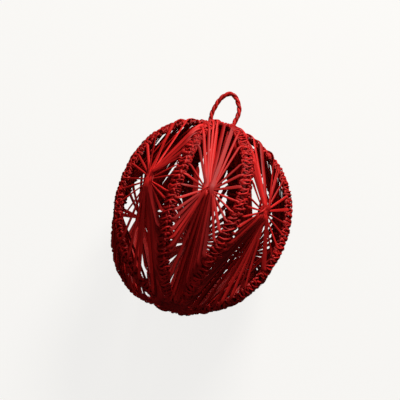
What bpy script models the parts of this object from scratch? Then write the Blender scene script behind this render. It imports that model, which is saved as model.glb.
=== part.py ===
"""Woven palm Christmas bauble, lying on its side.

Eight knotted ribs run over the ball from a crocheted round at the top to one at the bottom. Between
each two ribs, strands of split palm are gathered into a star. A twisted palm loop stands on the top
round.

Units are metres, and +Z is up. The bauble's own axis lies along +Y, with the loop at the +Y end. The
origin is on the ground, under the middle of the outline. Every piece is modelled with that axis on
Y and its own outer side facing +Z, then turned about the axis to its place.
"""

import math
import random

import bmesh
import bpy
from mathutils import Vector

MM = 0.001
GAP = 0.3 * MM

# The ball, measured on the middle line of its ribs.
RIB_COUNT = 8
EQUATOR_RADIUS = 45.5 * MM
TOP_HEIGHT = 50.2 * MM
BOTTOM_HEIGHT = 48.6 * MM
HALF_GORE = math.pi / RIB_COUNT

# A rib is a band of knots, slimmer at its two ends and of full size once it has bulged half way out.
RIB_HALF_WIDTH = 2.9 * MM
RIB_HALF_THICKNESS = 1.35 * MM
RIB_END_SCALE = 0.75
RIB_FULL_SIZE_SHARE = 0.5
RIB_EDGE_SLOPE = 0.5 * MM
KNOTS_PER_RIB = 52
KNOT_RISE = 0.8 * MM
KNOT_BULGE = 0.4 * MM
KNOT_SLANT = 0.35
KNOT_STAGGER = 0.7 * MM

# How far each rib wanders off its even place, in millimetres: sideways near its top, at its middle
# and near its bottom, then outwards at the same three. Each power keeps the wander near a rib's end.
SIDEWAYS_POWER = 3
OUTWARDS_POWER = 9
RIB_WANDERS = (
    ((-6.0, 2.2, -11.0), (-11.0, 0.0, 0.0)),
    ((2.0, 3.5, 1.0), (-8.0, -0.9, 10.0)),
    ((-1.5, 1.0, 2.0), (-6.0, -0.8, -14.0)),
    ((0.0, 0.0, 0.0), (0.0, 0.0, -5.0)),
    ((0.0, 0.0, 0.0), (0.0, 0.0, 0.0)),
    ((1.5, -1.0, -2.0), (0.0, -1.5, 5.0)),
    ((-1.0, -2.5, 1.0), (0.0, -2.3, 0.0)),
    ((5.5, 2.0, -1.0), (-8.0, 0.0, 0.0)),
)

# The bauble lies on its two lowest ribs, whose undersides are pressed flat.
REST_HEIGHT = 43.4 * MM

# The crocheted rounds that close the ball at its top and bottom.
ROUND_RADIUS = 8.6 * MM
ROUND_HALF_THICKNESS = 1.4 * MM
ROUND_SIDES = 14
ROUND_RIDGES = 3
RIDGE_RISE = 0.5 * MM

# A star's strands, from the gather in its middle to the ribs on both sides.
GATHER_HALF_WIDTH = 1.9 * MM
GATHER_HALF_HEIGHT = 3.4 * MM
GATHER_THICKNESS = 1.3 * MM
STRANDS_PER_SIDE = 16
STRAND_THICKNESS = 0.55 * MM
STRAND_HALF_WIDTH_TOP = 0.6 * MM
STRAND_HALF_WIDTH_BOTTOM = 1.0 * MM
STRAND_END_LIMIT = 0.36
END_STRAND_HALF_WIDTH = 0.3 * MM
FIRST_STRAND_ANGLE = math.radians(17)
LAST_STRAND_ANGLE = math.radians(162)
STRAND_CROWDING = math.radians(3)
STRAND_JITTER = math.radians(1)
STRAND_SEED = 200

# Where each gather sits, sideways and towards the top, off the middle of its gore.
GATHER_OFFSETS = (
    (0.3 * MM, 1.6 * MM),
    (0.0, 2.4 * MM),
    (-0.8 * MM, 0.6 * MM),
    (0.6 * MM, -0.8 * MM),
    (0.0, 1.0 * MM),
    (-0.5 * MM, 2.0 * MM),
    (0.7 * MM, -0.5 * MM),
    (1.2 * MM, 0.9 * MM),
)

# The hanging loop, a two-ply twist that stands on the top round. Its route is given in millimetres
# from the ball's centre: sideways, towards the top, and outwards.
LOOP_ROUTE = (
    (-7.6, 50.9, 0.6),
    (-8.0, 56.4, 1.5),
    (-7.4, 60.0, 2.0),
    (-6.4, 63.6, 2.6),
    (-4.6, 66.8, 3.2),
    (-1.6, 68.9, 3.8),
    (1.4, 67.7, 4.1),
    (3.4, 65.0, 4.3),
    (5.0, 61.2, 4.6),
    (5.1, 57.4, 4.9),
    (4.5, 53.9, 5.1),
    (4.0, 50.9, 5.3),
)
LOOP_PLY_HALF_WIDTH = 1.0 * MM
LOOP_PLY_HALF_THICKNESS = 0.7 * MM
LOOP_TURN_LENGTH = 6.5 * MM
LOOP_SECTIONS_PER_TURN = 5
ROUTE_STEPS = 24

# Where the ball's centre lies, so that the origin is under the middle of the outline: the ribs' knots
# stand a little below the bottom round, and the ribs on the right reach a little further out.
LOOP_TOP = max(height for _, height, _ in LOOP_ROUTE) * MM + LOOP_PLY_HALF_WIDTH
ROUND_BOTTOM = BOTTOM_HEIGHT * math.cos(math.asin(ROUND_RADIUS / EQUATOR_RADIUS)) + ROUND_HALF_THICKNESS
KNOTS_BELOW_ROUND = 0.5 * MM
BALL_CENTRE_Y = (ROUND_BOTTOM + KNOTS_BELOW_ROUND - LOOP_TOP) / 2
BALL_CENTRE_X = -0.9 * MM

# Colour and roughness of the dyed palm.
SPLIT_PALM = ((0.26, 0.012, 0.011, 1.0), 0.5)
KNOTTED_PALM = ((0.20, 0.008, 0.008, 1.0), 0.6)
TWISTED_PALM = ((0.22, 0.010, 0.010, 1.0), 0.55)
SMOOTH_ANGLE = math.radians(50)


def clear_scene():
    for item in list(bpy.data.objects):
        bpy.data.objects.remove(item, do_unlink=True)


def palm_material(name, finish):
    colour, roughness = finish
    material = bpy.data.materials.new(name)
    material.use_nodes = True
    shader = material.node_tree.nodes["Principled BSDF"]
    shader.inputs["Base Color"].default_value = colour
    shader.inputs["Roughness"].default_value = roughness
    shader.inputs["Metallic"].default_value = 0.0
    return material


def ball_height(angle):
    """Height of the ribs' middle line over the ball's centre, at an angle from the top pole."""
    pole = TOP_HEIGHT if angle < math.pi / 2 else BOTTOM_HEIGHT
    return pole * math.cos(angle)


def outward(angle):
    """Direction square to the ball's surface, in the plane of a rib."""
    pole = TOP_HEIGHT if angle < math.pi / 2 else BOTTOM_HEIGHT
    return Vector((0, math.cos(angle) / pole, math.sin(angle) / EQUATOR_RADIUS)).normalized()


RIB_START = math.asin((ROUND_RADIUS + 2 * GAP) / EQUATOR_RADIUS)
RIB_STOP = math.pi - RIB_START


def rib_share(angle):
    """0 at the rib's two ends, 1 at its middle."""
    return math.sin(math.pi * (angle - RIB_START) / (RIB_STOP - RIB_START))


def rib_scale(angle):
    return RIB_END_SCALE + (1 - RIB_END_SCALE) * min(1.0, rib_share(angle) / RIB_FULL_SIZE_SHARE)


def rib_half_width(angle):
    return RIB_HALF_WIDTH * rib_scale(angle)


def rib_wander(amounts, power, angle):
    """How far a rib lies off its even place; nothing at its two ends."""
    top, middle, bottom = amounts
    towards_top = (1 + math.cos(angle)) / 2
    near_ends = top * towards_top**power + bottom * (1 - towards_top) ** power
    return rib_share(angle) * (near_ends + middle * math.sin(angle) ** 2) * MM


def rib_point(rib, angle, sideways, depth):
    """A point of a rib facing +Z: sideways of its middle line, and depth outwards of it."""
    aside, out = RIB_WANDERS[rib % RIB_COUNT]
    across = sideways + rib_wander(aside, SIDEWAYS_POWER, angle)
    out_of_ball = depth + rib_wander(out, OUTWARDS_POWER, angle)
    on_ball = Vector((across, ball_height(angle), EQUATOR_RADIUS * math.sin(angle)))
    return on_ball + out_of_ball * outward(angle)


def turned(point, longitude):
    """The point turned about the bauble's axis, from +Z towards +X."""
    return Vector((
        point.x * math.cos(longitude) + point.z * math.sin(longitude),
        point.y,
        point.z * math.cos(longitude) - point.x * math.sin(longitude),
    ))


def skin(mesh, sections):
    """Quads from each section to the next and a lid at both ends; the quads are listed by section."""
    rows = []
    for near, far in zip(sections, sections[1:]):
        count = len(near)
        rows.append([
            mesh.faces.new((near[i], near[(i + 1) % count], far[(i + 1) % count], far[i]))
            for i in range(count)
        ])
    mesh.faces.new(sections[0])
    mesh.faces.new(sections[-1])
    bmesh.ops.recalc_face_normals(mesh, faces=mesh.faces)
    return rows


def add_object(name, mesh, material, parent, longitude=0.0):
    data = bpy.data.meshes.new(name)
    mesh.to_mesh(data)
    mesh.free()
    data.shade_smooth()
    data.set_sharp_from_angle(angle=SMOOTH_ANGLE)
    data.materials.append(material)
    item = bpy.data.objects.new(name, data)
    item.rotation_euler = (0, longitude, 0)
    item.parent = parent
    bpy.context.scene.collection.objects.link(item)


def press_flat(mesh, longitude):
    """Push up whatever would reach below the ground once the piece is turned to its longitude."""
    down = turned(Vector((0, 0, -1)), -longitude)
    for vertex in mesh.verts:
        too_low = vertex.co.dot(down) - REST_HEIGHT
        if too_low > 0:
            vertex.co -= too_low * down


def add_rib(rib, material, parent):
    """A band of slanted knots: each stretch of the band is poked up into a knot on three sides."""
    longitude = (2 * rib + 1) * HALF_GORE
    step = (RIB_STOP - RIB_START) / KNOTS_PER_RIB
    mesh = bmesh.new()
    sections = []
    for i in range(KNOTS_PER_RIB + 1):
        angle = RIB_START + i * step
        slant = KNOT_SLANT * step if 0 < i < KNOTS_PER_RIB else 0.0
        width = rib_half_width(angle)
        depth = RIB_HALF_THICKNESS * rib_scale(angle)
        corners = (
            (angle - slant, -width, -depth),
            (angle - slant, RIB_EDGE_SLOPE - width, depth),
            (angle + slant, width - RIB_EDGE_SLOPE, depth),
            (angle + slant, width, -depth),
        )
        sections.append([mesh.verts.new(rib_point(rib, *corner)) for corner in corners])
    rows = skin(mesh, sections)
    for edge in (0, 2):
        bmesh.ops.poke(mesh, faces=[row[edge] for row in rows], offset=KNOT_BULGE)
    knots = bmesh.ops.poke(mesh, faces=[row[1] for row in rows], offset=KNOT_RISE)["verts"]
    for i, knot in enumerate(sorted(knots, key=lambda vertex: -vertex.co.y)):
        knot.co.x += KNOT_STAGGER if i % 2 else -KNOT_STAGGER
    press_flat(mesh, longitude)
    add_object(f"rib_{rib + 1}", mesh, material, parent, longitude)


def strand_angle(share):
    """Where a strand meets its rib; they sit closer together beside the gather."""
    even = FIRST_STRAND_ANGLE + (LAST_STRAND_ANGLE - FIRST_STRAND_ANGLE) * share
    return even + STRAND_CROWDING * math.sin(2 * math.pi * share)


def strand_end_on_rib(star, side, angle, spacing):
    """The four corners of a strand's end, lying along the edge of the rib on that side."""
    rib = star if side > 0 else star - 1
    towards_bottom = angle / math.pi
    half_width = STRAND_HALF_WIDTH_TOP
    half_width += (STRAND_HALF_WIDTH_BOTTOM - STRAND_HALF_WIDTH_TOP) * towards_bottom
    across_gore = EQUATOR_RADIUS * math.sin(HALF_GORE)
    along_gore = abs(ball_height(angle))
    steepness = math.hypot(across_gore, along_gore) / across_gore
    half_angle = min(half_width * steepness / EQUATOR_RADIUS, STRAND_END_LIMIT * spacing)
    corners = []
    for turn, depth in ((-1, 0.5), (1, 0.5), (1, -0.5), (-1, -0.5)):
        place = angle + turn * half_angle
        inset = rib_half_width(place) + KNOT_BULGE + GAP
        corner = rib_point(rib, place, -side * inset, depth * STRAND_THICKNESS)
        corners.append(turned(corner, side * HALF_GORE))
    return corners


def strand_end_on_round(height):
    """The four corners of the one strand that reaches a crocheted round between two ribs."""
    radius = ROUND_RADIUS + 2 * GAP
    half = STRAND_THICKNESS / 2
    level = math.copysign(abs(height) - half, height)
    width = math.copysign(END_STRAND_HALF_WIDTH, height)
    return [
        Vector((-width, level, radius + 2 * half)),
        Vector((width, level, radius + 2 * half)),
        Vector((width, level, radius)),
        Vector((-width, level, radius)),
    ]


def star_strand_ends(star):
    """Strand ends clockwise round the star, seen from outside, beginning at the top round."""
    chance = random.Random(STRAND_SEED + star)
    shares = [i / (STRANDS_PER_SIDE - 1) for i in range(STRANDS_PER_SIDE)]
    sides = {}
    for side in (1, -1):
        angles = [strand_angle(share) + chance.uniform(-1, 1) * STRAND_JITTER for share in shares]
        spacings = [abs(after - before) for before, after in zip(angles, angles[1:])]
        spacings.append(spacings[-1])
        sides[side] = [
            strand_end_on_rib(star, side, angle, min(spacing, previous))
            for angle, spacing, previous in zip(angles, spacings, spacings[:1] + spacings)
        ]
    left = [[corners[i] for i in (1, 0, 3, 2)] for corners in reversed(sides[-1])]
    top = strand_end_on_round(ball_height(RIB_START))
    bottom = strand_end_on_round(ball_height(RIB_STOP))
    return [top, *sides[1], bottom, *left]


def add_star(star, material, parent):
    """A star of straight strands: each one leaves its own side of the gather, a flat oval knot."""
    sideways, upwards = GATHER_OFFSETS[star]
    middle = Vector((sideways, upwards, EQUATOR_RADIUS * math.cos(HALF_GORE)))
    ends = star_strand_ends(star)
    mesh = bmesh.new()
    layers = []
    for depth in (GATHER_THICKNESS / 2, -GATHER_THICKNESS / 2):
        layer = []
        for i in range(len(ends)):
            bearing = 2 * math.pi * (i - 0.5) / len(ends)
            x = GATHER_HALF_WIDTH * math.sin(bearing)
            y = GATHER_HALF_HEIGHT * math.cos(bearing)
            layer.append(mesh.verts.new(middle + Vector((x, y, depth))))
        layers.append(layer)
    outer, inner = layers
    mesh.faces.new(outer)
    mesh.faces.new(inner)
    for i, end in enumerate(ends):
        following = (i + 1) % len(ends)
        root = (outer[i], outer[following], inner[following], inner[i])
        tip = [mesh.verts.new(corner) for corner in end]
        for j in range(4):
            k = (j + 1) % 4
            mesh.faces.new((root[j], root[k], tip[k], tip[j]))
        mesh.faces.new(tip)
    bmesh.ops.recalc_face_normals(mesh, faces=mesh.faces)
    longitude = 2 * star * HALF_GORE
    press_flat(mesh, longitude)
    add_object(f"star_{star + 1}", mesh, material, parent, longitude)


def add_round(name, direction, material, parent):
    """A flat crocheted round, ridged on its outside; direction is 1 at the top and -1 at the bottom."""
    rim_height = abs(ball_height(RIB_START if direction > 0 else RIB_STOP))
    low = rim_height - ROUND_HALF_THICKNESS
    high = rim_height + ROUND_HALF_THICKNESS
    ridge_width = ROUND_RADIUS / ROUND_RIDGES
    profile = [(ridge_width / 2, low), (ROUND_RADIUS - RIDGE_RISE, low)]
    for ridge in range(ROUND_RIDGES):
        outside = ROUND_RADIUS - ridge * ridge_width
        profile.append((outside, high - RIDGE_RISE))
        profile.append((outside - ridge_width / 2, high))
    mesh = bmesh.new()
    sections = []
    for radius, height in profile:
        ring = []
        for i in range(ROUND_SIDES):
            bearing = 2 * math.pi * i / ROUND_SIDES
            place = (radius * math.sin(bearing), direction * height, radius * math.cos(bearing))
            ring.append(mesh.verts.new(place))
        sections.append(ring)
    skin(mesh, sections)
    add_object(name, mesh, material, parent)


def smooth_route(points, spacing):
    """Points at an even spacing along a Catmull-Rom curve through the given ones."""
    knots = [2 * points[0] - points[1], *points, 2 * points[-1] - points[-2]]
    fine = []
    for before, start, stop, after in zip(knots, knots[1:], knots[2:], knots[3:]):
        for i in range(ROUTE_STEPS):
            t = i / ROUTE_STEPS
            fine.append(0.5 * (
                2 * start
                + (stop - before) * t
                + (2 * before - 5 * start + 4 * stop - after) * t**2
                + (3 * start - before - 3 * stop + after) * t**3
            ))
    fine.append(points[-1])
    lengths = [0.0]
    for near, far in zip(fine, fine[1:]):
        lengths.append(lengths[-1] + (far - near).length)
    count = round(lengths[-1] / spacing)
    route = []
    place = 0
    for i in range(count + 1):
        goal = lengths[-1] * i / count
        while place < len(fine) - 2 and lengths[place + 1] < goal:
            place += 1
        share = (goal - lengths[place]) / (lengths[place + 1] - lengths[place])
        route.append(fine[place].lerp(fine[place + 1], share))
    return route


def add_loop(material, parent):
    """The hanging loop: a lozenge, as wide as two plies, that twists as it follows the route."""
    points = [Vector(point) * MM for point in LOOP_ROUTE]
    route = smooth_route(points, LOOP_TURN_LENGTH / LOOP_SECTIONS_PER_TURN)
    span = points[-1] - points[0]
    facing = Vector((-span.z, 0, span.x)).normalized()
    mesh = bmesh.new()
    sections = []
    for i, point in enumerate(route):
        before = route[max(i - 1, 0)]
        after = route[min(i + 1, len(route) - 1)]
        inside_ends = 0 < i < len(route) - 1
        along = (after - before).normalized() if inside_ends else Vector((0, 1 if i == 0 else -1, 0))
        across = along.cross(facing).normalized()
        through = across.cross(along)
        ring = []
        for j in range(4):
            bearing = 2 * math.pi * (j / 4 + i / LOOP_SECTIONS_PER_TURN)
            reach = LOOP_PLY_HALF_THICKNESS if j % 2 else LOOP_PLY_HALF_WIDTH
            offset = reach * (math.cos(bearing) * across + math.sin(bearing) * through)
            ring.append(mesh.verts.new(point + offset))
        sections.append(ring)
    skin(mesh, sections)
    add_object("hanging_loop", mesh, material, parent)


def build():
    clear_scene()
    palm = palm_material("split_palm", SPLIT_PALM)
    knotted = palm_material("knotted_palm", KNOTTED_PALM)
    twisted = palm_material("twisted_palm", TWISTED_PALM)
    ball = bpy.data.objects.new("ball_centre", None)
    ball.location = (BALL_CENTRE_X, BALL_CENTRE_Y, REST_HEIGHT)
    bpy.context.scene.collection.objects.link(ball)
    for number in range(RIB_COUNT):
        add_rib(number, knotted, ball)
        add_star(number, palm, ball)
    add_round("top_round", 1, knotted, ball)
    add_round("bottom_round", -1, knotted, ball)
    add_loop(twisted, ball)


build()
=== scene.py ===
"""Woven palm Christmas bauble, lying on its side, in a pale studio.

The bauble's own axis lies along +Y, with the hanging loop at the +Y end. Units are metres.
"""

import math
import random

import bmesh
import bpy
from mathutils import Matrix, Vector


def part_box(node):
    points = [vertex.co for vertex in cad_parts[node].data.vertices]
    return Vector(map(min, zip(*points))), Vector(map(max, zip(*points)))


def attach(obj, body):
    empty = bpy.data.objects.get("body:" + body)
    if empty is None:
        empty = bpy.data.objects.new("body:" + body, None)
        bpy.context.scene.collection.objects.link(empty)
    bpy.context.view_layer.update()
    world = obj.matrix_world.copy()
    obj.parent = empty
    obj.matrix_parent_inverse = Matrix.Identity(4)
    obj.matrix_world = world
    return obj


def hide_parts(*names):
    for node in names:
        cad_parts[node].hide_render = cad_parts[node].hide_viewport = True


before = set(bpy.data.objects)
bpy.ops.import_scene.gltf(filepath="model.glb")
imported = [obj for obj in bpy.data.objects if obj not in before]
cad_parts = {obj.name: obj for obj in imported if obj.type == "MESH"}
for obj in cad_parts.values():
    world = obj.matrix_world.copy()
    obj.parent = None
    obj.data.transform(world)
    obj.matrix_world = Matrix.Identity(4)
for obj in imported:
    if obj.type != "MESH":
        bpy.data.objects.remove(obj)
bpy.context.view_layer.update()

# ---------------------------------------------------------------------------------------------------
# The ball: a slightly tall, hollow ball of eight gores, worked all over from dyed palm leaf. Its poles
# are where the two crocheted rounds lie. Every piece is made round the ball's centre, the ribs and
# stars facing +Z, and is then turned about the axis and moved to its place.
MM = 0.001
RIB_COUNT = 8
HALF_GORE = math.pi / RIB_COUNT
EQUATOR_RADIUS = 45.5 * MM
TOP_HEIGHT = 50.2 * MM
BOTTOM_HEIGHT = 48.6 * MM

round_low, round_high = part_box("top_round")
ROUND_RADIUS = (round_high.z - round_low.z) / 2
RIM_ANGLE = math.asin(ROUND_RADIUS / EQUATOR_RADIUS)
BALL_CENTRE = (round_low + round_high) / 2 - Vector((0, TOP_HEIGHT * math.cos(RIM_ANGLE), 0))


def ball_height(angle):
    """Height over the ball's centre, at an angle from the top pole."""
    return (TOP_HEIGHT if angle < math.pi / 2 else BOTTOM_HEIGHT) * math.cos(angle)


def ball_outward(place):
    """Direction square to the ball's surface at a place near it."""
    pole = TOP_HEIGHT if place.y > 0 else BOTTOM_HEIGHT
    return Vector((
        place.x / EQUATOR_RADIUS**2, place.y / pole**2, place.z / EQUATOR_RADIUS**2
    )).normalized()


def turned(place, longitude):
    """The place turned about the bauble's axis, from +Z towards +X."""
    return Matrix.Rotation(longitude, 3, "Y") @ place


# ---------------------------------------------------------------------------------------------------
# The ribs: bands of knotted palm from pole to pole, over a flat core of palm. Bars of split palm are
# wrapped over the core to the ridge and linked there, rungs go on to the other edge, a finer strand
# crosses each knot, and small curls stand out along both edges.
RIB_START = math.asin((ROUND_RADIUS + 0.6 * MM) / EQUATOR_RADIUS)
RIB_STOP = math.pi - RIB_START
RIB_END_SCALE = 0.75
KNOTS_PER_RIB = 52
KNOT_PITCH = 2.5 * MM
BAND_LENGTH = KNOTS_PER_RIB * KNOT_PITCH

# How far each rib wanders off its even place, in millimetres: sideways near its top, at its middle
# and near its bottom, then outwards at the same three. Each power keeps the wander near a rib's end.
SIDEWAYS_POWER = 3
OUTWARDS_POWER = 9
RIB_WANDERS = (
    ((-6.0, 2.2, -11.0), (-11.0, 0.0, 0.0)),
    ((2.0, 3.5, 1.0), (-8.0, -0.9, 10.0)),
    ((-1.5, 1.0, 2.0), (-6.0, -0.8, -14.0)),
    ((0.0, 0.0, 0.0), (0.0, 0.0, -5.0)),
    ((0.0, 0.0, 0.0), (0.0, 0.0, 0.0)),
    ((1.5, -1.0, -2.0), (0.0, -1.5, 5.0)),
    ((-1.0, -2.5, 1.0), (0.0, -2.3, 0.0)),
    ((5.5, 2.0, -1.0), (-8.0, 0.0, 0.0)),
)

# One knot's strokes in millimetres: sideways, along the rib, and outwards of its middle line.
BAR = (
    (-2.9, 0.3, -0.7), (-2.65, 0.25, 0.5), (-1.6, 0.1, 1.25), (-0.4, 0.0, 1.55),
    (0.6, -0.2, 1.4), (1.0, -0.5, 0.8),
)
RIDGE_LINK = (
    (0.1, 1.1, 0.8), (0.45, 0.75, 1.55), (1.0, 0.0, 1.9), (1.15, -0.8, 1.6), (0.75, -1.4, 0.9),
)
RUNG = (
    (0.9, 0.4, 1.0), (1.7, 0.5, 1.3), (2.5, 0.55, 0.8), (2.95, 0.45, 0.0), (2.85, 0.3, -0.8),
)
EDGE_CURL = (
    (2.0, 0.9, 0.6), (2.75, 1.0, 0.6), (3.2, 0.4, 0.2), (3.0, -0.4, 0.0), (2.3, -0.7, 0.0),
)
CROSSING = ((-2.4, -1.0, 0.5), (-1.3, -0.7, 1.6), (0.2, 0.0, 2.1), (1.5, 0.8, 1.6), (2.5, 1.1, 0.5))
BACK_BAR = (
    (2.85, 0.1, -0.7), (1.5, 0.2, -1.2), (0.0, 0.2, -1.35), (-1.5, 0.3, -1.2), (-2.85, 0.5, -0.7),
)
# A knot's strokes in the order in which they are laid: whether one follows the ridge, its half width in
# millimetres, its tone from darkest to lightest, and -1 where it is mirrored to the other edge. The
# tones differ from stroke to stroke as painted light and shade: lighter for the strokes on the ridge and
# on top, darker for the edge curls, and darkest for the back bar beneath the core.
KNOT = (
    (BAR, False, 0.68, (0.0, 0.45), 1),
    (RIDGE_LINK, True, 0.5, (0.1, 0.45), 1),
    (RUNG, False, 0.6, (0.0, 0.4), 1),
    (CROSSING, True, 0.38, (0.1, 0.5), 1),
    (EDGE_CURL, False, 0.44, (0.0, 0.3), 1),
    (EDGE_CURL, False, 0.44, (0.0, 0.3), -1),
    (BACK_BAR, False, 0.8, (0.0, 0.2), 1),
)
# How unevenly the strokes are laid: the ridge's sway and each point's stir in millimetres, and how far
# a stroke tilts along the rib for each millimetre across it.
RIDGE_SWAY = 0.5
STROKE_STIR = 0.22
STROKE_TILT = 0.35
# The band's half width and half height in millimetres, both squared, for the way its strokes face.
BAND_SQUARES = (9, 3)

STRAY_FIBRES_PER_RIB = 10
# A stray fibre's bends, as shares of its reach and of its curl, and their rise in millimetres.
FIBRE_BENDS = ((0, 0, 0), (0.5, 0.1, 0.3), (0.9, 0.5, 0.5), (1.0, 1.0, 0.4))


def rib_share(angle):
    """0 at the rib's two ends, 1 at its middle."""
    return math.sin(math.pi * (angle - RIB_START) / (RIB_STOP - RIB_START))


def rib_wander(amounts, power, angle):
    """How far a rib lies off its even place at an angle from the top pole."""
    top, middle, bottom = amounts
    towards_top = (1 + math.cos(angle)) / 2
    near_ends = top * towards_top**power + bottom * (1 - towards_top) ** power
    return max(0.0, rib_share(angle)) * (near_ends + middle * math.sin(angle) ** 2) * MM


def rib_surface(rib, angle, sideways, depth):
    """A place on a rib facing +Z: sideways of its middle line, and depth outwards of it."""
    aside, out = RIB_WANDERS[rib % RIB_COUNT]
    scale = RIB_END_SCALE + (1 - RIB_END_SCALE) * min(1.0, 2 * max(0.0, rib_share(angle)))
    line = Vector((0, ball_height(angle), EQUATOR_RADIUS * math.sin(angle)))
    out_of_ball = rib_wander(out, OUTWARDS_POWER, angle) + depth * scale
    across = rib_wander(aside, SIDEWAYS_POWER, angle) + sideways * scale
    return line + out_of_ball * ball_outward(line) + Vector((across, 0, 0))


def new_palm_mesh():
    """A mesh with a UV map in metres along and round each strand, and a tone for each strand, partly
    painted shade.
    """
    mesh = bmesh.new()
    mesh.loops.layers.uv.new("fibre")
    mesh.verts.layers.float.new("tone")
    return mesh


def lay_strand(mesh, route, facings, half_widths, half_thickness, tone, sides=8, fold=0.0):
    """One strand: a grid rolled up into a flat rod along the route, its flat side to the facings."""
    fibre = mesh.loops.layers.uv["fibre"]
    tones = mesh.verts.layers.float["tone"]
    last = len(route) - 1
    lengths = [0.0]
    for near, far in zip(route, route[1:]):
        lengths.append(lengths[-1] + (far - near).length)
    across = []
    through = []
    for i, facing in enumerate(facings):
        along = (route[min(i + 1, last)] - route[max(i - 1, 0)]).normalized()
        side = along.cross(facing).normalized()
        across.append(side)
        through.append(side.cross(along))
    start = 0.0137 * len(mesh.verts)
    girth = 2 * (max(half_widths) + half_thickness)
    grid = bmesh.ops.create_grid(mesh, x_segments=last, y_segments=sides, size=0.5)["verts"]
    faces = {face for vertex in grid for face in vertex.link_faces}
    for face in faces:
        for loop in face.loops:
            i = round((loop.vert.co.x + 0.5) * last)
            loop[fibre].uv = (start + lengths[i], start + (loop.vert.co.y + 0.5) * girth)
    for vertex in grid:
        i = round((vertex.co.x + 0.5) * last)
        bearing = 2 * math.pi * (vertex.co.y + 0.5)
        rise = half_thickness * math.sin(bearing) + fold * half_widths[i] * abs(math.cos(bearing))
        vertex[tones] = tone
        vertex.co = route[i] + half_widths[i] * math.cos(bearing) * across[i] + rise * through[i]
    bmesh.ops.remove_doubles(mesh, verts=grid, dist=0.001 * MM)


def close_ends(mesh):
    """Caps the open ends of all strands, and turns every face outwards."""
    open_edges = [edge for edge in mesh.edges if edge.is_boundary]
    bmesh.ops.holes_fill(mesh, edges=open_edges, sides=0)
    bmesh.ops.recalc_face_normals(mesh, faces=mesh.faces)


def finish_palm(name, mesh, longitude, material, slot, *nodes):
    """Turns a piece to its place on the ball, presses it flat on the ground and hands it over."""
    close_ends(mesh)
    bmesh.ops.rotate(mesh, verts=mesh.verts, matrix=Matrix.Rotation(longitude, 3, "Y"))
    bmesh.ops.translate(mesh, verts=mesh.verts, vec=BALL_CENTRE)
    for vertex in mesh.verts:
        vertex.co.z = max(vertex.co.z, 0.0)
    data = bpy.data.meshes.new(name)
    mesh.to_mesh(data)
    mesh.free()
    data.shade_smooth()
    data.set_sharp_from_angle(angle=math.radians(60))
    data.materials.append(material)
    piece = bpy.data.objects.new(name, data)
    bpy.context.scene.collection.objects.link(piece)
    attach(piece, "root")
    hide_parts(*nodes)


# The grain of the fibres along and across a strand, and of the blotches in the dye, per metre.
FIBRE_GRAIN = (60, 2600, 1)
BLOTCH_GRAIN = 90
GROOVE_DEPTH = 0.12 * MM
# The darkest end of the dye, which also paints shade on the rib cores and on strands whose tone is set
# low.
DEEPEST_DYE_AND_SHADE = (0.02, 0.0003, 0.0004, 1)


def dyed_palm(name, dark, bright, roughness, reflection):
    """Palm leaf dyed red: fine fibres along each strand, uneven dye, painted shade from low tones, and a
    satin face.
    """
    material = bpy.data.materials.new(name)
    material.use_nodes = True
    nodes = material.node_tree.nodes
    links = material.node_tree.links
    shader = nodes["Principled BSDF"]
    shader.inputs["Specular IOR Level"].default_value = reflection

    fibre_map = nodes.new("ShaderNodeUVMap")
    fibre_map.uv_map = "fibre"
    fibre_scale = nodes.new("ShaderNodeMapping")
    fibre_scale.inputs["Scale"].default_value = FIBRE_GRAIN
    fibres = nodes.new("ShaderNodeTexNoise")
    fibres.inputs["Scale"].default_value = 1
    fibres.inputs["Detail"].default_value = 3
    links.new(fibre_map.outputs["UV"], fibre_scale.inputs["Vector"])
    links.new(fibre_scale.outputs["Vector"], fibres.inputs["Vector"])

    place = nodes.new("ShaderNodeTexCoord")
    blotches = nodes.new("ShaderNodeTexNoise")
    blotches.inputs["Scale"].default_value = BLOTCH_GRAIN
    blotches.inputs["Detail"].default_value = 2
    links.new(place.outputs["Object"], blotches.inputs["Vector"])

    tone = nodes.new("ShaderNodeAttribute")
    tone.attribute_name = "tone"
    # Fibres and tone together: uneven dye, and painted shade on strands whose tone is set low.
    dye_and_shade = nodes.new("ShaderNodeMath")
    dye_and_shade.operation = "MULTIPLY_ADD"
    dye_and_shade.inputs[1].default_value = 0.45
    links.new(fibres.outputs["Fac"], dye_and_shade.inputs[0])
    links.new(tone.outputs["Fac"], dye_and_shade.inputs[2])
    uneven = nodes.new("ShaderNodeMath")
    uneven.operation = "MULTIPLY_ADD"
    uneven.inputs[1].default_value = 0.35
    links.new(blotches.outputs["Fac"], uneven.inputs[0])
    links.new(dye_and_shade.outputs["Value"], uneven.inputs[2])

    ramp = nodes.new("ShaderNodeValToRGB")
    ramp.color_ramp.elements[0].position = 0.0
    ramp.color_ramp.elements[0].color = DEEPEST_DYE_AND_SHADE
    ramp.color_ramp.elements[1].position = 0.9
    ramp.color_ramp.elements[1].color = bright
    ramp.color_ramp.elements.new(0.3).color = dark
    links.new(uneven.outputs["Value"], ramp.inputs["Fac"])
    links.new(ramp.outputs["Color"], shader.inputs["Base Color"])

    gloss = nodes.new("ShaderNodeMath")
    gloss.operation = "MULTIPLY_ADD"
    gloss.inputs[1].default_value = 0.25
    gloss.inputs[2].default_value = roughness - 0.12
    links.new(fibres.outputs["Fac"], gloss.inputs[0])
    links.new(gloss.outputs["Value"], shader.inputs["Roughness"])

    grooves = nodes.new("ShaderNodeBump")
    grooves.inputs["Strength"].default_value = 0.6
    grooves.inputs["Distance"].default_value = GROOVE_DEPTH
    links.new(fibres.outputs["Fac"], grooves.inputs["Height"])
    links.new(grooves.outputs["Normal"], shader.inputs["Normal"])
    return material


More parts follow.
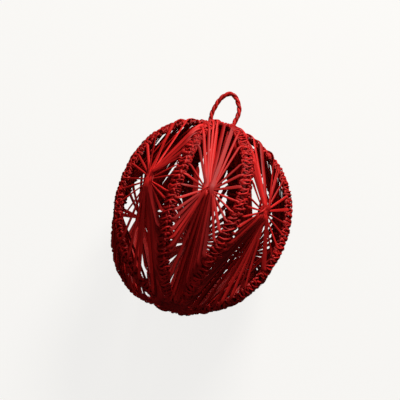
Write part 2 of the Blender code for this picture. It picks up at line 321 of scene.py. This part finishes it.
def smooth_route(points, steps):
    """A Catmull-Rom curve through the points, with some steps from each one to the next."""
    knots = [2 * points[0] - points[1], *points, 2 * points[-1] - points[-2]]
    route = []
    for before, start, stop, after in zip(knots, knots[1:], knots[2:], knots[3:]):
        for i in range(steps):
            t = i / steps
            route.append(0.5 * (
                2 * start
                + (stop - before) * t
                + (2 * before - 5 * start + 4 * stop - after) * t**2
                + (3 * start - before - 3 * stop + after) * t**3
            ))
    route.append(points[-1])
    return route


def spread(values, steps):
    """The values with others put in evenly between them, to match a smooth route."""
    full = []
    for near, far in zip(values, values[1:]):
        full += [near + (far - near) * i / steps for i in range(steps)]
    return [*full, values[-1]]


def lay_knot_stroke(mesh, stroke, place, chance, half_width, tone, mirror):
    """One stroke of a knot on the flat band, before the band is laid round the ball."""
    shift = Vector((chance.uniform(-0.3, 0.3), chance.uniform(-0.45, 0.45), chance.uniform(-0.2, 0.15)))
    tilt = chance.uniform(-STROKE_TILT, STROKE_TILT)
    route = []
    for sideways, along, depth in stroke:
        stir = Vector([chance.uniform(-STROKE_STIR, STROKE_STIR) for _ in range(3)])
        point = Vector((mirror * sideways, along + tilt * sideways, depth))
        route.append(place + (point + shift + stir) * MM)
    wide, high = BAND_SQUARES
    facings = [Vector((point.x / wide, 0, (point.z + 0.5 * MM) / high)).normalized() for point in route]
    full = half_width * chance.uniform(0.65, 1.25)
    widths = [full * chance.uniform(0.85, 1.1) for _ in route]
    line = smooth_route(route, 2)
    lay_strand(mesh, line, smooth_route(facings, 2), spread(widths, 2), 0.36 * MM, tone, sides=6)


def lay_stray_fibre(mesh, chance):
    """A loose fibre that stands out from one edge of the flat band."""
    edge = chance.choice((-1, 1))
    root = Vector((2.4 * edge, -chance.uniform(8, BAND_LENGTH / MM - 8), 0.6))
    reach = chance.uniform(1.2, 2.4) * edge
    curl = chance.uniform(-1.6, 1.6)
    bends = [(root + Vector((reach * out, curl * up, rise))) * MM for out, up, rise in FIBRE_BENDS]
    route = smooth_route(bends, 3)
    facings = [Vector((0, 0, 1))] * len(route)
    lay_strand(mesh, route, facings, [0.11 * MM] * len(route), 0.08 * MM, 0.5, sides=4)


knotted_palm = dyed_palm("knotted palm", (0.16, 0.001, 0.0015, 1), (0.52, 0.008, 0.008, 1), 0.56, 0.17)

for rib in range(RIB_COUNT):
    chance = random.Random(10 + rib)
    band = new_palm_mesh()
    swing = chance.uniform(0, 2 * math.pi)
    for knot in range(KNOTS_PER_RIB):
        sway = RIDGE_SWAY * math.sin(knot / 4 + swing) * MM
        place = Vector((0, -(knot + 0.5) * KNOT_PITCH, 0))
        ridge = place + Vector((sway, 0, 0))
        for stroke, on_ridge, half_width, tones, mirror in KNOT:
            tone = chance.uniform(*tones)
            spot = ridge if on_ridge else place
            lay_knot_stroke(band, stroke, spot, chance, half_width * MM, tone, mirror)
    # The flat core under the knots, at a tone below every stroke's, as painted shade between the
    # strokes.
    core = [Vector((0, -i * KNOT_PITCH, -0.35 * MM)) for i in range(KNOTS_PER_RIB + 1)]
    lay_strand(band, core, [Vector((0, 0, 1))] * len(core), [2.9 * MM] * len(core), 0.5 * MM, -0.1)
    for _ in range(STRAY_FIBRES_PER_RIB):
        lay_stray_fibre(band, chance)
    for vertex in band.verts:
        share = -vertex.co.y / BAND_LENGTH
        angle = RIB_START + share * (RIB_STOP - RIB_START)
        vertex.co = rib_surface(rib, angle, vertex.co.x, vertex.co.z)
    name = f"rib_{rib + 1}"
    longitude = (2 * rib + 1) * HALF_GORE
    finish_palm(f"knotted_{name}", band, longitude, knotted_palm, "knotted_palm", name)

# ---------------------------------------------------------------------------------------------------
# The stars: flat strands of split palm across each gore. The upper ones run over the ribs' top ends,
# through the gather in the gore's middle, and on to the bottom. Those from the sides are tucked in
# behind the gather, and one strand is wound round it.

# Each gather in millimetres: how far it lies sideways and upwards of its gore's middle, then half its
# width and half its height.
GATHERS = (
    (0.6, -0.2, 2.7, 2.2),
    (0.0, 1.0, 2.3, 2.8),
    (-0.8, 0.6, 2.2, 3.0),
    (0.6, -0.8, 2.2, 3.0),
    (0.0, 1.0, 2.2, 3.0),
    (-0.5, 2.0, 2.2, 3.0),
    (0.7, -0.5, 2.2, 3.0),
    (1.8, 0.9, 1.7, 3.8),
)
# The gather's outline from its top to its bottom, as shares of its half width and half height.
WAIST = ((0.8, 1), (0.85, 0), (1.05, -1))
# Beyond this many degrees from the top pole, a strand is one of the lower ones.
LOWER_FROM = 110

# Where strands meet the ribs of three stars: for the rib before the star, then for its own rib. First
# down to which angle from the top pole the strands are upper ones, and down to which they are hitched
# right over the rib; then each strand's angle in degrees, and its half width in millimetres.
STAR_ROWS = {
    0: (
        (70, 60, (
            (21, 0.35), (29, 0.6), (39, 0.55), (47, 0.8), (66, 0.6), (80, 0.65), (87, 0.78), (93, 0.78),
            (100, 0.78), (107, 0.9), (113, 0.9), (118, 1.2), (123, 1.2), (128, 1.2), (132, 0.9),
            (147, 0.8), (161, 0.9),
        )),
        (45, 50, (
            (22, 0.9), (35, 0.5), (57, 0.6), (70, 0.78), (78, 0.78), (85, 1.04), (93, 0.78), (99, 0.65),
            (106, 0.78), (112, 0.9), (118, 0.78), (129, 1.3), (134, 1.2), (139, 1.1), (144, 1.1),
            (149, 1.1), (154, 1.1),
        )),
    ),
    1: (
        (78, 32, (
            (22, 0.9), (27, 0.9), (31, 0.9), (35, 1.0), (39, 0.9), (44, 0.9), (50, 0.9), (57, 0.9),
            (65, 0.9), (73, 0.9), (79, 0.9), (88, 0.7), (93, 0.65), (100, 0.78), (106, 1.04), (111, 1.0),
            (116, 1.0), (121, 1.0), (126, 1.0), (131, 1.0), (136, 1.0), (141, 1.0), (147, 0.8),
            (153, 1.0), (160, 1.0),
        )),
        (38, 50, (
            (15, 1.0), (21, 1.1), (34, 1.1), (46, 0.5), (53, 0.78), (61, 0.65), (70, 0.91), (78, 1.04),
            (86, 0.78), (94, 0.78), (102, 0.78), (108, 0.65), (117, 1.4), (133, 0.9), (137, 1.0),
            (142, 0.9), (149, 0.9), (154, 1.0), (160, 1.0),
        )),
    ),
    7: (
        (62, 40, (
            (19, 0.7), (27, 0.9), (37, 1.0), (53, 0.9), (61, 0.9), (70, 0.91), (77, 0.78), (86, 0.52),
            (93, 0.78), (101, 0.65), (112, 0.6), (122, 0.6), (134, 1.2), (142, 1.0),
            (147, 0.9), (160, 1.0), (163, 1.0),
        )),
        (82, 66, (
            (42, 0.9), (48, 1.0), (54, 0.9), (60, 1.0), (66, 0.9), (72, 1.0), (77, 0.9), (82, 0.5),
            (88, 0.52), (97, 0.65), (102, 0.78), (108, 0.9), (116, 1.3), (121, 1.2), (126, 1.1),
            (132, 1.1), (138, 1.1), (144, 1.1), (150, 1.0), (155, 1.0), (160, 1.0),
        )),
    ),
}
# The other stars have strands all along both ribs, but for some openings, in degrees.
STAR_OPENINGS = {
    2: (((14, 20), (145, 154)), ((16, 29), (141, 146))),
    3: (((24, 45), (48, 56), (64, 69), (127, 130)), ((71, 74),)),
    4: (
        ((37, 47), (53, 59), (64, 67), (89, 91), (123, 127), (159, 166)),
        ((18, 41), (94, 99), (108, 115), (135, 146)),
    ),
    5: (((117, 160),), ((14, 22), (64, 71), (79, 85), (94, 117), (150, 166))),
    6: (((30, 34), (45, 49)), ((158, 166),)),
}
# Their strands along a rib: how many, from which angle and how far apart in degrees, down to which one
# they are upper ones, and the half widths of those above and below LOWER_FROM in millimetres.
EVEN_STRANDS = 39
EVEN_START = 16
EVEN_STEP = 3.8
EVEN_UPPER_TO = 50
EVEN_HALF_WIDTHS = (1.42, 1.6)

# Strands that reach the rim of the top round, as bearings on it in degrees, with half widths in
# millimetres, and the bearings of those that reach the bottom one.
TOP_STRANDS = ((-20, 0.8), (-2, 0.9), (14, 0.5))
BOTTOM_STRANDS = (-16, -5, 5, 16)
EVEN_TOP_STRANDS = ((-8, 1.0), (8, 1.0))
EVEN_BOTTOM_STRANDS = (0,)
# How such a strand's end is tucked at the rim, in millimetres: beyond the round's radius, and its rise.
RIM_TUCK = ((-0.8, -0.9), (0.5, -0.6), (1.4, -0.7), (2.4, -1.1))

# How a strand's end lies on its rib, in millimetres: how far from the rib's middle line, and how far
# outwards; then the same for a strand that is hitched right over the rib, which crosses it at a slant.
HITCH = ((1.6, 0.1), (2.3, 0.8), (3.1, 0.8), (4.1, 0.1))
HITCH_OVER = ((-0.9, 0.6), (0.2, 1.6), (1.8, 2.3), (3.6, 1.4))
HITCH_CHANGES_OVER = 10
# How many degrees a strand's end slants along the rib for each millimetre across it.
SLANT_OVER = 2.6
SLANT_BESIDE = 2.0
# No strand ends nearer to a pole than this, in degrees from the top pole.
FIRST_END = 14
LAST_END = 166

# A strand of split palm: how far it rolls at its ends in degrees, over how many points its ends are
# slimmed, and how deeply it may be folded along its middle, as a share of its half width.
STRAND_ROLL = 42
SLIMMED_POINTS = 7
FOLD = 0.35


def even_row(openings):
    """Strands all along a rib, a little broader lower down, but for the openings."""
    strands = []
    above, below = EVEN_HALF_WIDTHS
    for i in range(EVEN_STRANDS):
        angle = EVEN_START + EVEN_STEP * i
        if not any(start <= angle <= stop for start, stop in openings):
            strands.append((angle, above if angle < LOWER_FROM else below))
    return EVEN_UPPER_TO, 0, strands


def hitched_end(star, side, degrees, over_to):
    """The end of a strand, from inside the rib on that side to where it leaves the rib's edge."""
    rib = star if side > 0 else star - 1
    over = min(1.0, max(0.0, (over_to - degrees) / HITCH_CHANGES_OVER))
    end = []
    for edge, across in zip(HITCH, HITCH_OVER):
        reach = edge[0] + (across[0] - edge[0]) * over
        depth = edge[1] + (across[1] - edge[1]) * over
        beside = SLANT_BESIDE * math.cos(math.radians(degrees)) * (reach - HITCH[-1][0])
        slant = over * SLANT_OVER * reach + (1 - over) * beside
        angle = math.radians(min(max(degrees + slant, FIRST_END), LAST_END))
        place = rib_surface(rib, angle, -side * reach * MM, depth * MM)
        end.append(turned(place, side * HALF_GORE))
    return end


def round_end(degrees, direction):
    """The end of a strand that reaches the rim of a crocheted round, at a bearing on it."""
    bearing = math.radians(degrees)
    height = direction * ball_height(RIM_ANGLE)
    end = []
    for reach, rise in RIM_TUCK:
        radius = ROUND_RADIUS + reach * MM
        level = height + direction * rise * MM
        end.append(Vector((radius * math.sin(bearing), level, radius * math.cos(bearing))))
    return end


def straight_run(start, stop):
    """Inner points of a straight strand, close to both of its ends and in its middle."""
    return [start.lerp(stop, share) for share in (0.08, 0.35, 0.65, 0.92)]


def lay_split_palm(mesh, places, half_widths, chance, tone):
    """A strand between two half widths in millimetres, slimmer and turned a little at its ends."""
    first_width, last_width = half_widths
    route = smooth_route(places, 2)
    last = len(route) - 1
    roll = math.radians(chance.uniform(-STRAND_ROLL, STRAND_ROLL))
    facings = []
    for i, place in enumerate(route):
        along = route[min(i + 1, last)] - route[max(i - 1, 0)]
        turn = roll * math.cos(math.pi * i / last)
        facings.append(Matrix.Rotation(turn, 3, along) @ ball_outward(place))
    widths = []
    for i in range(last + 1):
        full = (first_width + (last_width - first_width) * i / last) * MM
        widths.append(full * (0.5 + 0.5 * min(1.0, i / SLIMMED_POINTS, (last - i) / SLIMMED_POINTS)))
    lay_strand(mesh, route, facings, widths, 0.28 * MM, tone, fold=chance.choice((-FOLD, 0.0, FOLD)))


# The strand that ties the gather, in millimetres from its middle, where it shows.
TIE = ((-3.2, -2.0, 0.1), (-2.4, -0.9, 0.9), (-1.4, 0.3, 1.0), (-0.6, 1.3, 0.6))

split_palm = dyed_palm("split palm", (0.18, 0.0006, 0.0012, 1), (0.59, 0.011, 0.01, 1), 0.58, 0.19)

for star in range(RIB_COUNT):
    chance = random.Random(40 + star)
    sideways, upwards, half_width, half_height = (size * MM for size in GATHERS[star])
    middle = Vector((sideways, upwards, EQUATOR_RADIUS * math.cos(HALF_GORE)))
    fan = new_palm_mesh()

    rows = STAR_ROWS.get(star) or [even_row(openings) for openings in STAR_OPENINGS[star]]
    even = star in STAR_OPENINGS
    top_strands = EVEN_TOP_STRANDS if even else TOP_STRANDS
    bottom_strands = EVEN_BOTTOM_STRANDS if even else BOTTOM_STRANDS
    tops = [(round_end(bearing, 1), width) for bearing, width in top_strands]
    lows = [(round_end(bearing, -1), 1.1) for bearing in bottom_strands]
    beside = []
    for side, (upper_to, over_to, strands) in zip((-1, 1), rows):
        upper_ends = []
        lower_ends = []
        for angle, width in strands:
            end = hitched_end(star, side, angle + chance.uniform(-0.6, 0.6), over_to)
            if angle < upper_to:
                upper_ends.append((end, width))
            elif angle > LOWER_FROM:
                lower_ends.append((end, width))
            else:
                beside.append((side, angle, end, width))
        tops = [*reversed(upper_ends), *tops] if side < 0 else [*tops, *upper_ends]
        lows = [*lower_ends, *lows] if side < 0 else [*lows, *reversed(lower_ends)]

    led_up = set()
    for i, (low_end, low_width) in enumerate(lows):
        share = i / (len(lows) - 1)
        waist = [
            middle + Vector((
                (2 * share - 1) * half_width * wide + chance.uniform(-0.3, 0.3) * MM,
                height * half_height,
                chance.uniform(-0.8, 0.8) * MM,
            ))
            for wide, height in WAIST
        ]
        lower = [*waist[1:], *straight_run(waist[-1], low_end[-1]), *reversed(low_end)]
        tone = chance.uniform(0.0, 0.45)
        top = round(share * (len(tops) - 1))
        # A lower strand that no upper strand leads into is laid 0.12 darker, as painted shade on the
        # bundle below the gather.
        if top in led_up:
            lay_split_palm(fan, lower, (0.6, low_width), chance, tone - 0.12)
        else:
            top_end, top_width = tops[top]
            upper = [*top_end, *straight_run(top_end[-1], waist[0]), waist[0]]
            lay_split_palm(fan, [*upper, *lower], (top_width, low_width), chance, tone)
        led_up.add(top)

    for side, angle, end, width in beside:
        height = max(-1.0, min(1.0, 2.2 * math.cos(math.radians(angle)))) * half_height
        near = middle + Vector((side * 0.85 * half_width, height, -0.3 * MM))
        inside = middle + Vector((side * 0.2 * half_width, 0.6 * height, -0.6 * MM))
        places = [*end, *straight_run(end[-1], near), near, inside]
        lay_split_palm(fan, places, (width, 0.5), chance, chance.uniform(0.0, 0.45))

    lay_split_palm(fan, [middle + Vector(place) * MM for place in TIE], (0.75, 0.75), chance, 0.3)
    name = f"star_{star + 1}"
    finish_palm(f"woven_{name}", fan, 2 * star * HALF_GORE, split_palm, "split_palm", name)

# ---------------------------------------------------------------------------------------------------
# The rounds: small flat discs of crocheted palm, worked in rings, that close the ball at its poles.
# Slanting pairs of posts stand in each ring, and the rim is wrapped over and over with palm.

# Each worked row in millimetres: from which radius to which, and how many pairs of posts it has.
ROUND_ROWS = ((5.9, 8.3, 22), (3.2, 5.9, 14), (0.6, 3.2, 8))
ROUND_RINGS = (8.0, 5.9, 3.2)
# One post: the share of its row that it has crossed, how far aside it leans, and its rise.
POST = ((0.0, 0.0, 0.0), (0.15, 0.3, 0.6), (0.5, 0.45, 0.8), (0.85, 0.2, 0.6), (1.0, -0.1, -0.1))
# One wrap over the rim, in millimetres: its radius and its height.
RIM_WRAP = ((7.0, 0.9), (8.1, 1.1), (8.8, 0.5), (8.8, -0.4), (8.1, -1.0), (7.2, -0.9))
RIM_WRAPS = 26


def round_level(direction):
    """How far a round lies from the ball's centre: direction is 1 for the top one, -1 for the bottom."""
    return abs(ball_height(RIM_ANGLE if direction > 0 else math.pi - RIM_ANGLE))


def round_place(direction, radius, bearing, rise):
    """A place on a round: its radius and its rise in millimetres, and its bearing."""
    height = direction * (round_level(direction) + rise * MM)
    return Vector((radius * MM * math.sin(bearing), height, radius * MM * math.cos(bearing)))


for name, direction in (("top_round", 1), ("bottom_round", -1)):
    chance = random.Random(70 + direction)
    disc = new_palm_mesh()
    for inner, outer, posts in ROUND_ROWS:
        for post in range(posts):
            for lean in (-1, 1):
                route = []
                for share, aside, rise in POST:
                    bearing = 2 * math.pi * (post + 0.42 * lean * (0.35 + aside)) / posts
                    radius = inner + (outer - inner) * share
                    uneven = rise + chance.uniform(-0.1, 0.1)
                    route.append(round_place(direction, radius, bearing, uneven))
                facings = [Vector((0, direction, 0))] * len(route)
                tone = chance.uniform(0.0, 0.35)
                lay_strand(disc, route, facings, [0.5 * MM] * len(route), 0.35 * MM, tone, sides=6)
    for reach in ROUND_RINGS:
        ring = [round_place(direction, reach, 2 * math.pi * i / 48, 0) for i in range(49)]
        facings = [Vector((0, direction, 0))] * len(ring)
        lay_strand(disc, ring, facings, [0.6 * MM] * len(ring), 0.8 * MM, 0.2)
    for wrap in range(RIM_WRAPS):
        start = 2 * math.pi * (wrap + chance.uniform(-0.2, 0.2)) / RIM_WRAPS
        route = [
            round_place(direction, radius, start + 0.03 * i, rise + chance.uniform(-0.1, 0.1))
            for i, (radius, rise) in enumerate(RIM_WRAP)
        ]
        facings = [(place - round_place(direction, 7.4, start, 0)).normalized() for place in route]
        widths = [chance.uniform(0.7, 0.95) * MM] * len(route)
        lay_strand(disc, route, facings, widths, 0.4 * MM, chance.uniform(0.0, 0.4), sides=6)
    bmesh.ops.create_cone(
        disc, cap_ends=True, segments=32, radius1=7.8 * MM, radius2=7.8 * MM, depth=0.5 * MM,
        matrix=Matrix.Translation((0, direction * round_level(direction), 0))
        @ Matrix.Rotation(math.pi / 2, 4, "X"),
    )
    finish_palm(f"crocheted_{name}", disc, 0.0, knotted_palm, "knotted_palm", name)

# ---------------------------------------------------------------------------------------------------
# The hanging loop: two plies of palm twisted together, stiff enough to stand, its feet tucked in
# between the ribs' top ends and the round.

# Its middle line in millimetres from the ball's centre, from foot to foot.
LOOP_ROUTE = (
    (-7.6, 50.2, 0.6),
    (-8.0, 56.4, 1.5),
    (-7.4, 60.0, 2.0),
    (-6.4, 63.6, 2.6),
    (-4.6, 66.8, 3.2),
    (-1.6, 68.9, 3.8),
    (1.4, 67.7, 4.1),
    (3.4, 65.0, 4.3),
    (5.0, 61.2, 4.6),
    (5.1, 57.4, 4.9),
    (4.5, 53.9, 5.1),
    (4.0, 50.2, 5.3),
)
PLY_TURN = 7.0 * MM
PLY_OFFSET = 0.6 * MM

twisted_palm = dyed_palm("twisted palm", (0.16, 0.001, 0.0015, 1), (0.6, 0.013, 0.01, 1), 0.5, 0.11)
loop_line = smooth_route([Vector(point) * MM for point in LOOP_ROUTE], 8)
feet_aside = LOOP_ROUTE[-1][0] - LOOP_ROUTE[0][0]
feet_outwards = LOOP_ROUTE[-1][2] - LOOP_ROUTE[0][2]
loop_facing = Vector((-feet_outwards, 0, feet_aside)).normalized()
loop = new_palm_mesh()
for ply in range(2):
    travelled = 0.0
    route = []
    facings = []
    for i, place in enumerate(loop_line):
        if i > 0:
            travelled += (place - loop_line[i - 1]).length
        along = (loop_line[min(i + 1, len(loop_line) - 1)] - loop_line[max(i - 1, 0)]).normalized()
        across = along.cross(loop_facing).normalized()
        through = across.cross(along)
        bearing = 2 * math.pi * travelled / PLY_TURN + math.pi * ply
        out = math.cos(bearing) * across + math.sin(bearing) * through
        route.append(place + PLY_OFFSET * out)
        facings.append(out)
    lay_strand(loop, route, facings, [0.92 * MM] * len(route), 0.66 * MM, 0.1 + 0.15 * ply, sides=10)
finish_palm("twisted_hanging_loop", loop, 0.0, twisted_palm, "twisted_palm", "hanging_loop")

# ---------------------------------------------------------------------------------------------------
# The studio: a pale floor, a warm key light beyond the bauble's top, a faint fill light from the other
# side, and a camera that looks down on the lying bauble.
CAMERA_ELEVATION = math.radians(69)
CAMERA_DISTANCE = 0.9
CAMERA_ROLL = math.radians(15.5)
CAMERA_LENS = 161
CAMERA_OFFSET = (0.4 * MM, 9.05 * MM)

floor_mesh = bmesh.new()
bmesh.ops.create_grid(floor_mesh, x_segments=1, y_segments=1, size=6.0)
floor_data = bpy.data.meshes.new("floor")
floor_mesh.to_mesh(floor_data)
floor_mesh.free()
floor = bpy.data.objects.new("floor", floor_data)
bpy.context.scene.collection.objects.link(floor)
floor_finish = bpy.data.materials.new("pale floor")
floor_finish.use_nodes = True
floor_shader = floor_finish.node_tree.nodes["Principled BSDF"]
floor_shader.inputs["Base Color"].default_value = (0.08, 0.0795, 0.078, 1)
floor_shader.inputs["Roughness"].default_value = 0.9
floor_shader.inputs["Specular IOR Level"].default_value = 0.0
floor_shader.inputs["Emission Color"].default_value = (0.905, 0.896, 0.879, 1)
floor_shader.inputs["Emission Strength"].default_value = 0.93
floor_data.materials.append(floor_finish)
floor.visible_diffuse = False
floor.visible_glossy = False

back = Vector((0, -math.cos(CAMERA_ELEVATION), math.sin(CAMERA_ELEVATION)))
upright = (-back).to_track_quat("-Z", "Y").to_matrix().to_4x4()
leaning = upright @ Matrix.Rotation(CAMERA_ROLL, 4, "Z")
camera_data = bpy.data.cameras.new("camera")
camera_data.lens = CAMERA_LENS
camera = bpy.data.objects.new("camera", camera_data)
aside = leaning.to_3x3() @ Vector((*CAMERA_OFFSET, 0))
camera.matrix_world = Matrix.Translation(BALL_CENTRE + CAMERA_DISTANCE * back + aside) @ leaning
bpy.context.scene.collection.objects.link(camera)
bpy.context.scene.camera = camera


def hang_light(name, place, size, power):
    """A round soft light at a place, aimed at the ball's centre."""
    data = bpy.data.lights.new(name, "AREA")
    data.shape = "DISK"
    data.size = size
    data.energy = power
    lamp = bpy.data.objects.new(name, data)
    aim = (BALL_CENTRE - Vector(place)).to_track_quat("-Z", "Y")
    lamp.matrix_world = Matrix.Translation(place) @ aim.to_matrix().to_4x4()
    bpy.context.scene.collection.objects.link(lamp)
    return lamp


key = hang_light("key", (0.14, 0.86, 0.68), 0.45, 21.5)
key.data.color = (1, 0.95, 0.87)
fill = hang_light("fill", (-0.5, -0.3, 0.85), 0.8, 1.2)
fill.visible_glossy = False

world = bpy.data.worlds.new("studio")
world.use_nodes = True
world.node_tree.nodes["Background"].inputs["Color"].default_value = (1, 1, 1, 1)
world.node_tree.nodes["Background"].inputs["Strength"].default_value = 0.08
bpy.context.scene.world = world
world.cycles_visibility.glossy = False
bpy.context.scene.view_settings.view_transform = "Standard"
